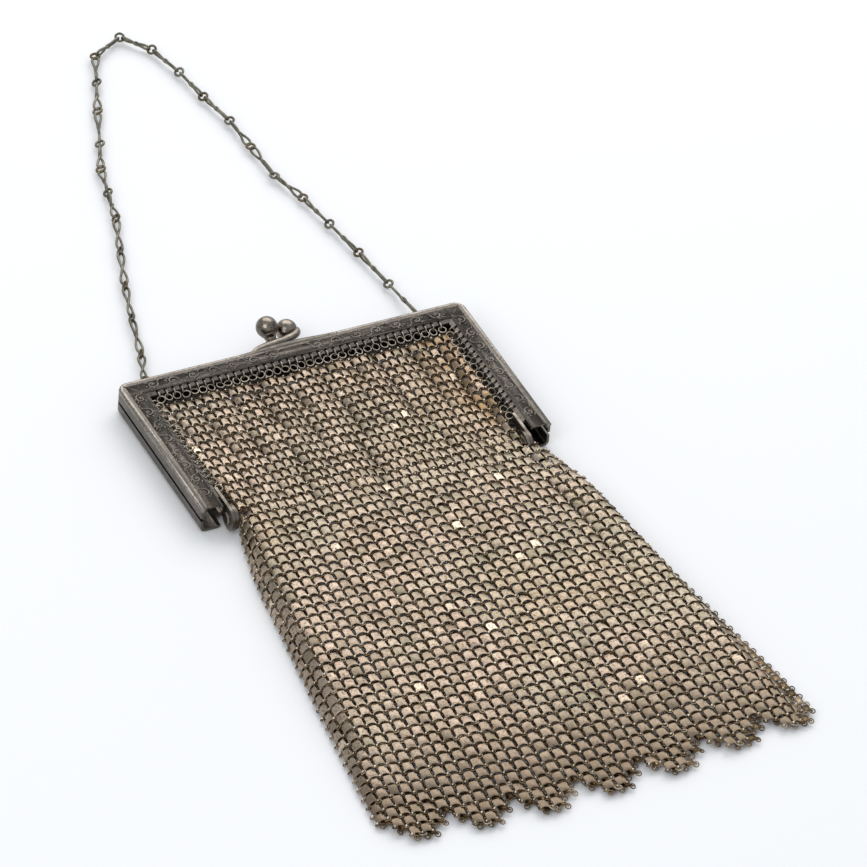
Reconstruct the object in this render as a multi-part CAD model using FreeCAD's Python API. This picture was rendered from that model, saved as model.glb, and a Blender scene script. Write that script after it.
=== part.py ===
import FreeCAD, Part
import math
import os

# Mesh evening bag with a hinged metal frame, a kiss-lock clasp and a chain handle.
# It lies on its back. While it is modelled, X runs along the top bar from the middle of
# the frame, Y points from the hem towards the top bar's outer edge (Y = 0), and Z is up
# from the resting surface. Millimetres. The finished pieces are moved so that the origin
# is under the middle of the bag, chain left out.

V = FreeCAD.Vector

# ---- frame halves: two hollow U-shaped channels, one on the other
FRAME_WIDTH = 102.0
ARM_LENGTH = 55.0
BAND = 7.0                 # width of the channel, seen from the front
THICKNESS = 8.0            # both halves together
PARTING_GAP = 0.9          # dark gap between the two outer walls
SHEET = 0.7
CORNER_R = 3.2
LIP_R = 1.5
FLANGE_RUN = 1.8           # width of the sloped inner flange
FLANGE_DROP = 0.75         # how far it slopes down
MID_Z = THICKNESS / 2
HALF = FRAME_WIDTH / 2
INNER = HALF - BAND        # inner edge of each arm

# ---- row of holes in the flange, and the rings that sew the mesh to it
HOLE_PITCH = 2.24
HOLE_R = 0.5
HOLE_INSET = 6.2           # from the outer edge of the band
HOLES_ON_BAR = 38
HOLES_ON_ARM = 17
SEWING_WIRE_R = 0.2
SEWING_RING_R = 0.9
SEWING_RING_INSET = 7.03
SEWING_RING_Z = 6.87      # in the front half; mirrored in the back half

# ---- hinges at the arm ends
HINGE_Y = -ARM_LENGTH - 1.5
HINGE_Z = MID_Z
EAR_R = 3.5
EAR_T = 0.8
EAR_GAP = 0.1
PIN_R = 0.9
PIN_CLEARANCE = 0.04
PIN_HEAD_R = 1.7
WASHER_R = 2.7
WASHER_T = 0.5
TONGUE_START = -ARM_LENGTH + 3.7
TONGUE_END = -ARM_LENGTH + 7.4

# ---- kiss-lock clasp
BALL_R = 2.75
POST_R = 0.85
BACK_BALL = V(-2.7, 8.3, 7.5)
FRONT_BALL = V(3.4, 8.3, 4.7)
BACK_POST = [V(0.6, 0.0, 2.5), V(0.2, 2.4, 2.9), V(-1.8, 5.3, 4.1), BACK_BALL]
FRONT_POST = [V(-7.5, 0.0, 5.6), V(-5.0, 1.9, 6.3), V(-2.0, 3.2, 6.5), V(1.6, 4.6, 5.3),
              FRONT_BALL]

# ---- chain handle
LUG_X = 40.5
LUG_Z = 2.9
LUG_WIRE_R = 0.4
LUG_HALF_WIDTH = 1.9
LUG_BEND_R = 1.1
LUG_BAR_Y = 2.9                    # the straight bar that the chain swings on
CHAIN_WIRE_R = 0.32
LINK_LENGTH = 12.84
LINK_WIDTH = 2.8
RING_OUTER_R = 1.65
END_RING_OUTER_R = 2.1
END_RING_Y = LUG_BAR_Y + 0.5
END_PULL = 0.225                   # the first and last links sit this far towards the middle
LINK_ROLL = 45.0                   # tilt of the long links
END_LINK_ROLL = 30.0               # of the first and last ones
APEX_LINK_ROLL = 90.0              # of those at the chain's two sharp bends
APEX_LINKS = (10, 11, 12)
END_RING_TURN = 15.0               # the end rings follow the first and last links a little
CHAIN_Z = 1.6
# Middles of the rings from the left lug to the right one, as the chain lies.
CHAIN_ROUTE = [
    (-40.5, 3.4), (-35.5, 16.1), (-34.6, 29.3), (-28.8, 41.1), (-26.0, 54.0),
    (-18.0, 64.5), (-17.2, 77.7), (-14.6, 90.6), (-9.3, 102.7), (-4.1, 114.9),
    (1.5, 126.8), (4.2, 139.7), (16.4, 144.8), (24.2, 134.1), (27.1, 121.3),
    (28.2, 108.1), (31.9, 95.4), (31.2, 82.3), (31.3, 69.1), (34.7, 56.3),
    (35.7, 43.1), (37.4, 30.0), (39.6, 17.0), (40.5, 3.4)]

# ---- mesh body
MESH_T = 0.9
MESH_INSET = 8.9           # the mesh starts this far inside the outer edge of the frame
UPPER_MESH_Z = 6.4         # outer face of the front mesh between the arms
NEAR_HINGE_X = 40.4        # half width of the mesh where it passes the hinges
UPPER_END_Y = HINGE_Y + 0.8
LOWER_START_Y = HINGE_Y - 4.0
FOLD_WIDTH = 4.0           # the strip along each side that turns down to the back
SKIN_GAP = 0.1
# The bag below the hinges: Y, left edge, right edge, height of the front face.
STATIONS = [
    (LOWER_START_Y, -42.6, 47.5, 6.8),
    (-80.0, -45.9, 52.0, 7.4),
    (-110.0, -48.6, 54.6, 7.4),
    (-140.0, -51.3, 57.3, 6.6),
    (-160.0, -53.0, 59.2, 5.2),
    (-176.0, -55.4, 61.2, 3.3),
    (-182.0, -57.2, 62.2, 2.6)]
HEM_POINTS = 7
HEM_POINT_LENGTH = 6.0
HEM_POINT_T = 0.6
HEM_POINT_GAP = 0.6


def box(x0, x1, y0, y1, z0, z1):
    return Part.makeBox(x1 - x0, y1 - y0, z1 - z0, V(x0, y0, z0))


def both_sides(shape):
    """The shape and its mirror image across the middle of the bag."""
    return shape, shape.mirror(V(0, 0, 0), V(1, 0, 0))


def flipped(shape):
    """The back half's counterpart of a front half's piece."""
    return shape.mirror(V(0, 0, MID_Z), V(0, 0, 1))


def edges_where(shape, test):
    return [e for e in shape.Edges if test(e)]


def channel_block(inset, z0, z1, corner_r, lip_r, reach):
    """Outer form of a half, or of its hollow: a U with a rounded upper outer edge."""
    x = HALF - inset
    y = -inset
    end = -ARM_LENGTH - reach
    block = box(-x, x, end, y, z0, z1)
    corners = edges_where(block, lambda e: e.BoundBox.ZLength > 1e-3 and e.BoundBox.YMax > y - 1e-3
                          and e.BoundBox.YLength < 1e-3 and e.BoundBox.XLength < 1e-3)
    block = block.makeFillet(corner_r, corners)

    def on_lip(e):
        b = e.BoundBox
        flat_top = b.ZMin > z1 - 1e-3
        at_end = b.YMax < end + 1e-3
        return flat_top and not at_end

    block = block.makeFillet(lip_r, edges_where(block, on_lip))
    window = box(-INNER + reach, INNER - reach, end - 1, -BAND - reach, z0 - 1, z1 + 1)
    return block.cut(window)


def slope_cutter(drop):
    """Frustum that leaves the inner flange sloping down to its free edge."""
    rise = 1.0
    steep = FLANGE_RUN / FLANGE_DROP
    wires = []
    for z in (THICKNESS - FLANGE_DROP - drop, THICKNESS + rise - drop):
        out = (z + drop - (THICKNESS - FLANGE_DROP)) * steep
        x = INNER + out
        y = -BAND + out
        low = -ARM_LENGTH - 5
        points = [V(-x, low, z), V(x, low, z), V(x, y, z), V(-x, y, z), V(-x, low, z)]
        wires.append(Part.makePolygon(points))
    frustum = Part.makeLoft(wires, True, True)
    x = INNER
    core = box(-x, x, -ARM_LENGTH - 5, -BAND, -5, THICKNESS - FLANGE_DROP - drop)
    return frustum, core


def bar_hole_places():
    first = -HOLE_PITCH * (HOLES_ON_BAR - 1) / 2
    return [first + HOLE_PITCH * i for i in range(HOLES_ON_BAR)]


def arm_hole_places():
    return [-BAND - 2.6 - HOLE_PITCH * i for i in range(HOLES_ON_ARM)]


def flange_holes():
    """Drills for the sewing holes, square to the sloped flange."""
    angle = math.atan2(FLANGE_DROP, FLANGE_RUN)
    down = FLANGE_DROP * (HOLE_INSET - (BAND - FLANGE_RUN)) / FLANGE_RUN
    z = THICKNESS - down
    length = 3.0
    drills = []
    tilt = V(0, -math.sin(angle), math.cos(angle))
    for x in bar_hole_places():
        start = V(x, -HOLE_INSET, z) - tilt * (length / 2)
        drills.append(Part.makeCylinder(HOLE_R, length, start, tilt))
    tilt = V(math.sin(angle), 0, math.cos(angle))
    for y in arm_hole_places():
        start = V(-HALF + HOLE_INSET, y, z) - tilt * (length / 2)
        drills += both_sides(Part.makeCylinder(HOLE_R, length, start, tilt))
    return Part.makeCompound(drills)


def front_shell():
    base = MID_Z + PARTING_GAP / 2
    outer = channel_block(0.0, base, THICKNESS, CORNER_R, LIP_R, 0.0)
    hollow = channel_block(SHEET, base - 1, THICKNESS - SHEET, CORNER_R - SHEET,
                           LIP_R - SHEET, 1.0)
    for cutter in slope_cutter(0.0):
        outer = outer.cut(cutter)
    for cutter in slope_cutter(SHEET * 1.15):
        hollow = hollow.cut(cutter)
    shell = outer.cut(hollow)
    for relief in both_sides(box(INNER - 1, INNER + 1.2, -ARM_LENGTH - 1, -ARM_LENGTH + 3.5,
                                 base - 1, THICKNESS + 1)):
        shell = shell.cut(relief)
    return shell.cut(flange_holes())


def sewing_rings():
    """The front half's rings, each through a hole and round the flange's free edge."""
    rings = []
    for x in bar_hole_places():
        middle = V(x, -SEWING_RING_INSET, SEWING_RING_Z)
        rings.append(Part.makeTorus(SEWING_RING_R, SEWING_WIRE_R, middle, V(1, 0, 0)))
    for y in arm_hole_places():
        middle = V(-HALF + SEWING_RING_INSET, y, SEWING_RING_Z)
        rings += both_sides(Part.makeTorus(SEWING_RING_R, SEWING_WIRE_R, middle, V(0, 1, 0)))
    return Part.makeCompound(rings)


# ---- hinges, modelled on the left arm

EAR_1 = -INNER                       # outer face of the front half's ear
EAR_2 = EAR_1 + EAR_T + EAR_GAP      # outer face of the back half's ear
WASHER_X = EAR_2 + EAR_T
PIN_HEAD_T = 0.6


def disc(x, radius, thickness):
    return Part.makeCylinder(radius, thickness, V(x, HINGE_Y, HINGE_Z), V(1, 0, 0))


def ear(x, tongue_x0, tongue_x1, tongue_z):
    """A round knuckle with a tongue brazed to the flange's edge above it."""
    plate = disc(x, EAR_R, EAR_T)
    web = box(x, x + EAR_T, HINGE_Y, TONGUE_END, tongue_z - 0.8, tongue_z + 0.8)
    tongue = box(tongue_x0, tongue_x1, TONGUE_START, TONGUE_END, tongue_z - 0.6, tongue_z + 0.6)
    bore = disc(x - 1, PIN_R + PIN_CLEARANCE, EAR_T + 2)
    return plate.fuse([web, tongue]).removeSplitter().cut(bore)


def front_ear():
    return ear(EAR_1, EAR_1, EAR_1 + EAR_T, THICKNESS - FLANGE_DROP - 0.55)


def back_ear():
    return ear(EAR_2, EAR_1, EAR_2 + EAR_T, FLANGE_DROP + 0.55)


def washer():
    return disc(WASHER_X, WASHER_R, WASHER_T).cut(disc(WASHER_X - 1, PIN_R, WASHER_T + 2))


def hinge_pin():
    start = EAR_1 - 0.1
    end = WASHER_X + WASHER_T
    shank = disc(start, PIN_R, end - start)
    outer_head = disc(start - PIN_HEAD_T, PIN_HEAD_R, PIN_HEAD_T)
    inner_head = disc(end, PIN_HEAD_R, PIN_HEAD_T)
    pin = shank.fuse([outer_head, inner_head]).removeSplitter()
    rims = edges_where(pin, lambda e: abs(e.Length - 2 * math.pi * PIN_HEAD_R) < 1e-3
                       and (e.BoundBox.XMin < start - 0.5 or e.BoundBox.XMax > end + 0.5))
    return pin.makeFillet(0.35, rims)


# ---- clasp

def post(points, ball):
    """A bent round post: straight runs with rounded joints, up to the ball."""
    solid = None
    for a, b in zip(points, points[1:]):
        run = Part.makeCylinder(POST_R, (b - a).Length, a, b - a)
        joint = Part.makeSphere(POST_R, b)
        pieces = [run, joint]
        solid = pieces[0].fuse(pieces[1]) if solid is None else solid.fuse(pieces)
    foot = points[0]
    collar = Part.makeCone(1.05, POST_R, 0.9, foot, V(0, 1, 0))
    start = Part.makeSphere(POST_R, foot)
    solid = solid.fuse([collar, start]).removeSplitter()
    inside_frame = box(-20, 20, -5, 0, -5, 20)
    core = Part.makeSphere(BALL_R - 0.9, ball)
    return solid.cut(inside_frame).cut(core)


def clasp_ball(middle, its_post):
    core = Part.makeSphere(BALL_R - 0.9, middle)
    return Part.makeSphere(BALL_R, middle).cut(core).cut(its_post)


# ---- chain

def chain_lug():
    """A wire staple standing out of the back half's top edge, on the left."""
    middle = V(-LUG_X, LUG_BAR_Y, LUG_Z)
    straight = LUG_HALF_WIDTH - LUG_BEND_R
    leg = LUG_BAR_Y - LUG_BEND_R
    pieces = [Part.makeCylinder(LUG_WIRE_R, 2 * straight, middle - V(straight, 0, 0), V(1, 0, 0))]
    for side in (-1, 1):
        foot = V(-LUG_X + side * LUG_HALF_WIDTH, 0, LUG_Z)
        bend = Part.makeTorus(LUG_BEND_R, LUG_WIRE_R, V(0, 0, 0), V(0, 0, 1), 0, 360, 90)
        if side < 0:
            bend = bend.mirror(V(0, 0, 0), V(1, 0, 0))
        bend.translate(V(-LUG_X + side * straight, leg, LUG_Z))
        pieces += [Part.makeCylinder(LUG_WIRE_R, leg, foot, V(0, 1, 0)), bend]
    return pieces[0].fuse(pieces[1:]).removeSplitter()


def long_link():
    """A figure-8 wire link about the origin, lying along X in the XY plane."""
    wire = CHAIN_WIRE_R
    r = LINK_WIDTH / 2 - wire
    reach = LINK_LENGTH / 2 - LINK_WIDTH / 2
    lean = math.asin(r / reach)
    sweep = 180 + 2 * math.degrees(lean)
    loop = Part.makeTorus(r, wire, V(0, 0, 0), V(0, 0, 1), 0, 360, sweep)
    loop.rotate(V(0, 0, 0), V(0, 0, 1), -sweep / 2)
    loop.translate(V(reach, 0, 0))
    solid = loop.fuse(loop.mirror(V(0, 0, 0), V(1, 0, 0)))
    half = V(reach - r * math.sin(lean), r * math.cos(lean), 0)
    for flip in (1, -1):
        a = V(-half.x, -flip * half.y, 0)
        b = V(half.x, flip * half.y, 0)
        solid = solid.fuse([Part.makeCylinder(wire, (b - a).Length, a, b - a)])
    return solid.removeSplitter()


def ring(outer_r):
    """A round wire ring about the origin, in the XY plane."""
    return Part.makeTorus(outer_r - CHAIN_WIRE_R, CHAIN_WIRE_R, V(0, 0, 0), V(0, 0, 1))


def laid(shape, middle, along, roll):
    """The shape turned so that its X runs along a direction, rolled about it, and moved."""
    piece = shape.copy()
    piece.rotate(V(0, 0, 0), V(1, 0, 0), roll)
    pitch = math.degrees(math.asin(along.z / along.Length))
    yaw = math.degrees(math.atan2(along.y, along.x))
    piece.rotate(V(0, 0, 0), V(0, 1, 0), -pitch)
    piece.rotate(V(0, 0, 0), V(0, 0, 1), yaw)
    piece.translate(middle)
    return piece


def route_points():
    last = len(CHAIN_ROUTE) - 1
    return [V(x, y, LUG_Z if i in (0, last) else CHAIN_Z) for i, (x, y) in enumerate(CHAIN_ROUTE)]


def link_roll(i):
    if i in APEX_LINKS:
        return APEX_LINK_ROLL
    return END_LINK_ROLL if i in (0, len(CHAIN_ROUTE) - 2) else LINK_ROLL


def chain_links():
    """Long links on the runs between ring middles, pulled off centre at the larger end rings."""
    points = route_points()
    last = len(points) - 1
    shape = long_link()
    links = []
    for i, (a, b) in enumerate(zip(points, points[1:])):
        along = (b - a).normalize()
        shift = END_PULL if i == 0 else -END_PULL if i == last - 1 else 0.0
        middle = (a + b) * 0.5 + along * shift
        links.append(laid(shape, middle, along, link_roll(i)))
    return Part.makeCompound(links)


def chain_rings():
    """Rings between the long links, square to the mean of the two links they join."""
    points = route_points()
    shape = ring(RING_OUTER_R)
    rings = []
    for i, (a, b, c) in enumerate(zip(points, points[1:], points[2:])):
        along = (b - a).normalize() + (c - b).normalize()
        roll = (link_roll(i) + link_roll(i + 1)) / 2 - 90.0
        rings.append(laid(shape, b, along, roll))
    return Part.makeCompound(rings)


def end_ring():
    turn = math.radians(END_RING_TURN)
    along = V(math.sin(turn), math.cos(turn), 0)
    return laid(ring(END_RING_OUTER_R), V(-LUG_X, END_RING_Y, LUG_Z), along, END_LINK_ROLL - 90.0)


# ---- mesh body

def slab(points, z0, z1):
    wire = Part.makePolygon([V(x, y, z0) for x, y in points + points[:1]])
    return Part.Face(wire).extrude(V(0, 0, z1 - z0))


def upper_mesh():
    """The front mesh between the arms, which swings with the front half."""
    top = HALF - MESH_INSET
    outline = [(-top, -MESH_INSET), (top, -MESH_INSET), (top, -ARM_LENGTH + 2),
               (NEAR_HINGE_X, -ARM_LENGTH + 2), (NEAR_HINGE_X, UPPER_END_Y),
               (-NEAR_HINGE_X, UPPER_END_Y), (-NEAR_HINGE_X, -ARM_LENGTH + 2),
               (-top, -ARM_LENGTH + 2)]
    return slab(outline, UPPER_MESH_Z - MESH_T, UPPER_MESH_Z)


def back_mesh():
    """The whole back mesh, which lies on the surface."""
    top = HALF - MESH_INSET
    left = [(x, y) for y, x, _, _ in STATIONS[1:]]
    right = [(x, y) for y, _, x, _ in STATIONS[1:]]
    start = STATIONS[0]
    outline = [(-top, -MESH_INSET), (top, -MESH_INSET), (top, -ARM_LENGTH + 2),
               (NEAR_HINGE_X, -ARM_LENGTH + 2), (NEAR_HINGE_X, start[0] - 1.0),
               (start[2], start[0] - 1.0)]
    outline += right + left[::-1]
    outline += [(start[1], start[0] - 1.0), (-NEAR_HINGE_X, start[0] - 1.0),
                (-NEAR_HINGE_X, -ARM_LENGTH + 2), (-top, -ARM_LENGTH + 2)]
    return slab(outline, 0.0, MESH_T)


def loft(sections):
    wires = [Part.makePolygon(section + section[:1]) for section in sections]
    return Part.makeLoft(wires, True, True)


def lower_mesh():
    """The front mesh below the hinges: a low crown that thins towards the hem."""
    sections = []
    for y, left, right, top in STATIONS:
        a = left + FOLD_WIDTH
        b = right - FOLD_WIDTH
        outer = [(a, top - 0.5), (a + 9, top - 0.1), ((a + b) / 2, top), (b - 9, top - 0.1), (b, top - 0.5)]
        section = [V(x, y, z) for x, z in outer]
        section += [V(x, y, z - MESH_T) for x, z in reversed(outer)]
        sections.append(section)
    return loft(sections)


def side_mesh(side):
    """The strip of mesh that turns down from the front to the back along one side."""
    sections = []
    for y, left, right, top in STATIONS:
        edge = left if side < 0 else right
        fold = edge - side * (FOLD_WIDTH - SKIN_GAP)
        floor = MESH_T + SKIN_GAP
        drop = top - 0.5 - floor
        outer = [(fold, floor + drop), (edge - side * 1.4, floor + drop * 0.82),
                 (edge, floor + drop * 0.42), (edge - side * 0.4, floor)]
        inner = [(edge - side * 1.4, floor), (edge - side * 1.0, floor + drop * 0.38),
                 (edge - side * 2.0, floor + drop * 0.62 - 0.3), (fold, floor + drop - MESH_T)]
        if drop < 1.6:
            inner = [(edge - side * 1.4, floor), (edge - side * 1.5, floor + drop * 0.1),
                     (edge - side * 2.0, floor + drop * 0.2), (fold, floor + drop * 0.3)]
        sections.append([V(x, y, z) for x, z in outer + inner])
    return loft(sections)


def hem_points(z0):
    """The zigzag hem: a row of points that hang free below the last full row of mesh."""
    y, left, right, _ = STATIONS[-1]
    width = (right - left) / HEM_POINTS
    start = y - SKIN_GAP
    solids = []
    for i in range(HEM_POINTS):
        a = left + width * i + HEM_POINT_GAP
        b = left + width * (i + 1) - HEM_POINT_GAP
        middle = (a + b) / 2
        outline = [(a, start), (b, start), (middle + 3.2, start - HEM_POINT_LENGTH / 2),
                   (middle + 0.9, start - HEM_POINT_LENGTH),
                   (middle - 0.9, start - HEM_POINT_LENGTH), (middle - 3.2, start - HEM_POINT_LENGTH / 2)]
        solids.append(slab(outline, z0, z0 + HEM_POINT_T))
    return Part.makeCompound(solids)


# ---- assembly

front = front_shell()
sewing = sewing_rings()
front_post = post(FRONT_POST, FRONT_BALL)
back_post = post(BACK_POST, BACK_BALL)

nodes = {
    "front_frame_shell": front,
    "back_frame_shell": flipped(front),
    "front_sewing_rings": sewing,
    "back_sewing_rings": flipped(sewing),
    "front_clasp_post": front_post,
    "front_clasp_ball": clasp_ball(FRONT_BALL, front_post),
    "back_clasp_post": back_post,
    "back_clasp_ball": clasp_ball(BACK_BALL, back_post),
    "front_mesh_upper": upper_mesh(),
    "front_mesh_lower": lower_mesh(),
    "back_mesh": back_mesh(),
    "side_mesh_left": side_mesh(-1),
    "side_mesh_right": side_mesh(1),
    "front_hem_points": hem_points(STATIONS[-1][3] - 1.2),
    "back_hem_points": hem_points(0.0),
}
for name, maker in (("front_hinge_ear", front_ear), ("back_hinge_ear", back_ear),
                    ("hinge_washer", washer), ("hinge_pin", hinge_pin),
                    ("chain_lug", chain_lug), ("chain_end_ring", end_ring)):
    nodes[name + "_left"], nodes[name + "_right"] = both_sides(maker())
nodes["chain_long_links"] = chain_links()
nodes["chain_rings"] = chain_rings()

CHAIN_NODES = ("chain_long_links", "chain_rings", "chain_end_ring_left", "chain_end_ring_right")
body = Part.makeCompound([s for n, s in nodes.items() if n not in CHAIN_NODES])
bounds = body.optimalBoundingBox(False)
to_origin = V(-(bounds.XMin + bounds.XMax) / 2, -(bounds.YMin + bounds.YMax) / 2, 0)

os.makedirs("parts", exist_ok=True)
for name, shape in nodes.items():
    shape = shape.copy()
    shape.translate(to_origin)
    shape.exportStep("parts/" + name + ".step")
    print(name, "solids", len(shape.Solids), "volume", round(shape.Volume, 2), "valid", shape.isValid())
print("origin moved by", [round(c, 3) for c in to_origin], "hinge", round(HINGE_Y + to_origin.y, 3),
      "lug bar", round(LUG_BAR_Y + to_origin.y, 3))
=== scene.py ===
import bpy
import math
import numpy as np
from mathutils import Matrix, Vector


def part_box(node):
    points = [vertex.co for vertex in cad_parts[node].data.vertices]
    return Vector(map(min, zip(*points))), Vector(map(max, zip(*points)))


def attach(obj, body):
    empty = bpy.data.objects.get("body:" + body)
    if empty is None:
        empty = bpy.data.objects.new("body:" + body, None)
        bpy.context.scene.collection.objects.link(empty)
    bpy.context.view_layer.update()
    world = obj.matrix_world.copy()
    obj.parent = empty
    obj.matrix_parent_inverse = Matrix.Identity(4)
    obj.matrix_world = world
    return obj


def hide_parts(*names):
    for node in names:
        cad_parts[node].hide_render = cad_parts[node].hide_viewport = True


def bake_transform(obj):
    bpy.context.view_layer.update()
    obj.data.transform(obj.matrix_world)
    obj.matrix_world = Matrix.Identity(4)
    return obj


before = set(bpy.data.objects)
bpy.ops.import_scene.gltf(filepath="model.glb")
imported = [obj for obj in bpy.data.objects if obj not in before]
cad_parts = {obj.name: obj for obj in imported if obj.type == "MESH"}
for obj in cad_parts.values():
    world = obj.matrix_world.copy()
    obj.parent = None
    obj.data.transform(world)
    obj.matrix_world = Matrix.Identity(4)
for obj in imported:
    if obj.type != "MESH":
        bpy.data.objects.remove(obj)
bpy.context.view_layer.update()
rng = np.random.default_rng(7)

# Everything below is modelled in the same natural frame as the CAD source, in millimetres:
# X along the top bar from its middle, Y = 0 at the bar's outer edge, Z up from the surface.
shell_low, shell_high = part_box("front_frame_shell")
SHIFT = np.array([(shell_low[0] + shell_high[0]) / 2, shell_high[1], 0.0])


def row_points(points):
    """Natural millimetres to metres in the shared frame."""
    return np.asarray(points, float) / 1000.0 + SHIFT


# ------------------------------------------------------------------ camera, light, floor

CAMERA_LENS = 500.6
CAMERA_PLACE = (-1174.9, -2208.8, 2024.4)
CAMERA_FORWARD = (0.37474, 0.67777, -0.63261)
CAMERA_UP = (0.22499, 0.59546, 0.77124)
FLOOR_SIZE = 8.0            # metres
FLOOR_DROP = 0.0002         # the floor lies this far under the bag, metres


def add_camera():
    """A long lens from the front left, well above the surface."""
    data = bpy.data.cameras.new("camera")
    data.sensor_width = 36.0
    data.lens = CAMERA_LENS
    data.clip_start = 0.1
    data.clip_end = 30.0
    camera = bpy.data.objects.new("camera", data)
    bpy.context.scene.collection.objects.link(camera)
    forward = Vector(CAMERA_FORWARD).normalized()
    up = Vector(CAMERA_UP).normalized()
    right = forward.cross(up).normalized()
    up = right.cross(forward)
    turn = Matrix((right, up, -forward)).transposed().to_4x4()
    place = Vector(row_points(CAMERA_PLACE))
    camera.matrix_world = Matrix.Translation(place) @ turn
    bpy.context.scene.camera = camera


def add_area_light(name, place, size, power, colour):
    """A soft light that looks at the bag; place and size in metres."""
    data = bpy.data.lights.new(name, "AREA")
    data.shape = "RECTANGLE"
    data.size, data.size_y = size
    data.energy = power
    data.color = colour
    light = bpy.data.objects.new(name, data)
    bpy.context.scene.collection.objects.link(light)
    light.location = place
    aim = -Vector(place)
    light.rotation_euler = aim.to_track_quat("-Z", "Y").to_euler()


def add_world():
    """An even, faintly cool studio all round."""
    world = bpy.data.worlds.new("studio")
    world.use_nodes = True
    background = world.node_tree.nodes["Background"]
    background.inputs["Color"].default_value = (0.93, 0.96, 1.0, 1.0)
    background.inputs["Strength"].default_value = 0.62
    bpy.context.scene.world = world
    bpy.context.scene.view_settings.view_transform = "Standard"


def add_floor():
    """The plain pale surface the bag lies on."""
    bpy.ops.mesh.primitive_plane_add(size=FLOOR_SIZE, location=(0, 0, -FLOOR_DROP))
    floor = bpy.context.object
    floor.name = "floor"
    material = bpy.data.materials.new("floor")
    material.use_nodes = True
    shader = material.node_tree.nodes["Principled BSDF"]
    shader.inputs["Base Color"].default_value = (0.90, 0.91, 0.93, 1.0)
    shader.inputs["Roughness"].default_value = 0.7
    floor.data.materials.append(material)


# ------------------------------------------------------------------ materials

STAIN_ACROSS = (0.024, 0.036)       # the brown patch by the right arm fades in over these, metres
STAIN_DOWN = (0.028, 0.048)
SOIL_DOWN = (-0.055, -0.092)        # the hem's soiling deepens from the first to the second, metres


class Nodes:
    """A material with a Principled shader and short calls for the nodes in front of it."""

    def __init__(self, name, **sockets):
        self.material = bpy.data.materials.new(name)
        self.material.use_nodes = True
        self.tree = self.material.node_tree
        self.shader = self.tree.nodes["Principled BSDF"]
        for socket, value in sockets.items():
            self.shader.inputs[socket.replace("_", " ")].default_value = value

    def add(self, kind, links=(), **settings):
        node = self.tree.nodes.new("ShaderNode" + kind)
        for name, value in settings.items():
            setattr(node, name, value)
        for socket, source in dict(links).items():
            target = node.inputs[socket]
            if hasattr(source, "links"):
                self.tree.links.new(source, target)
            else:
                target.default_value = source
        return node

    def link(self, source, socket):
        self.tree.links.new(source, self.shader.inputs[socket])

    def place(self):
        return self.add("TexCoord").outputs["Object"]

    def noise(self, scale, detail, roughness=0.55):
        links = {"Scale": scale, "Detail": detail, "Roughness": roughness, "Vector": self.place()}
        return self.add("TexNoise", links).outputs["Fac"]

    def maths(self, operation, a, b=0.0):
        return self.add("Math", {0: a, 1: b}, operation=operation).outputs[0]

    def spread(self, value, low, high, to_low=0.0, to_high=1.0):
        links = {"Value": value, "From Min": low, "From Max": high,
                 "To Min": to_low, "To Max": to_high}
        return self.add("MapRange", links).outputs["Result"]

    def ramp(self, value, stops):
        node = self.add("ValToRGB", {"Fac": value})
        elements = node.color_ramp.elements
        while len(elements) < len(stops):
            elements.new(0.5)
        for element, (position, colour) in zip(elements, stops):
            element.position = position
            element.color = (*colour, 1.0)
        return node.outputs["Color"]

    def mix(self, factor, a, b):
        node = self.add("Mix", data_type="RGBA")
        for index, value in ((0, factor), (6, a), (7, b)):
            if hasattr(value, "links"):
                self.tree.links.new(value, node.inputs[index])
            elif index == 0:
                node.inputs[0].default_value = value
            else:
                node.inputs[index].default_value = (*value, 1.0)
        return node.outputs[2]

    def bump(self, height, strength, distance):
        links = {"Height": height, "Strength": strength, "Distance": distance}
        self.link(self.add("Bump", links).outputs["Normal"], "Normal")


def plate_metal():
    """Worn plating on small plates: each plate a little different, a rare few painted bright as
    glints, scratched and pitted.
    """
    m = Nodes("mesh_plates", Metallic=1.0)
    island = m.add("NewGeometry").outputs["Random Per Island"]
    plate = m.ramp(island, [
        (0.00, (0.25, 0.21, 0.155)),
        (0.10, (0.31, 0.25, 0.19)),
        (0.40, (0.38, 0.30, 0.235)),
        (0.80, (0.43, 0.34, 0.27)),
        (0.978, (0.48, 0.385, 0.305)),
        # Past 0.978 the ramp paints a rare few plates much brighter, as glints.
        (0.99, (0.80, 0.66, 0.52))])
    patches = m.spread(m.noise(28.0, 3.0), 0.42, 0.66)
    plate = m.mix(m.maths("MULTIPLY", patches, 0.5), plate, (0.33, 0.32, 0.24))
    warm = m.spread(m.noise(19.0, 2.0, 0.5), 0.55, 0.75)
    plate = m.mix(m.maths("MULTIPLY", warm, 0.4), plate, (0.42, 0.29, 0.17))
    spots = m.spread(m.noise(1500.0, 3.0), 0.34, 0.50)
    plate = m.mix(spots, (0.20, 0.15, 0.10), plate)
    position = m.add("SeparateXYZ", {"Vector": m.place()})
    across, down = position.outputs["X"], position.outputs["Y"]
    corner = m.maths("MULTIPLY", m.spread(across, *STAIN_ACROSS), m.spread(down, *STAIN_DOWN))
    stain = m.maths("MULTIPLY", corner, m.spread(m.noise(150.0, 3.0), 0.40, 0.58, 0.1, 0.8))
    plate = m.mix(stain, plate, (0.27, 0.165, 0.075))
    soiled = m.spread(down, *SOIL_DOWN, 0.0, 0.88)
    plate = m.mix(soiled, plate, (0.185, 0.14, 0.098))
    m.link(plate, "Base Color")
    m.link(m.spread(m.noise(700.0, 4.0), 0.3, 0.7, 0.32, 0.50), "Roughness")
    m.bump(m.noise(2600.0, 4.0), 0.16, 0.0002)
    return m.material


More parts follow.
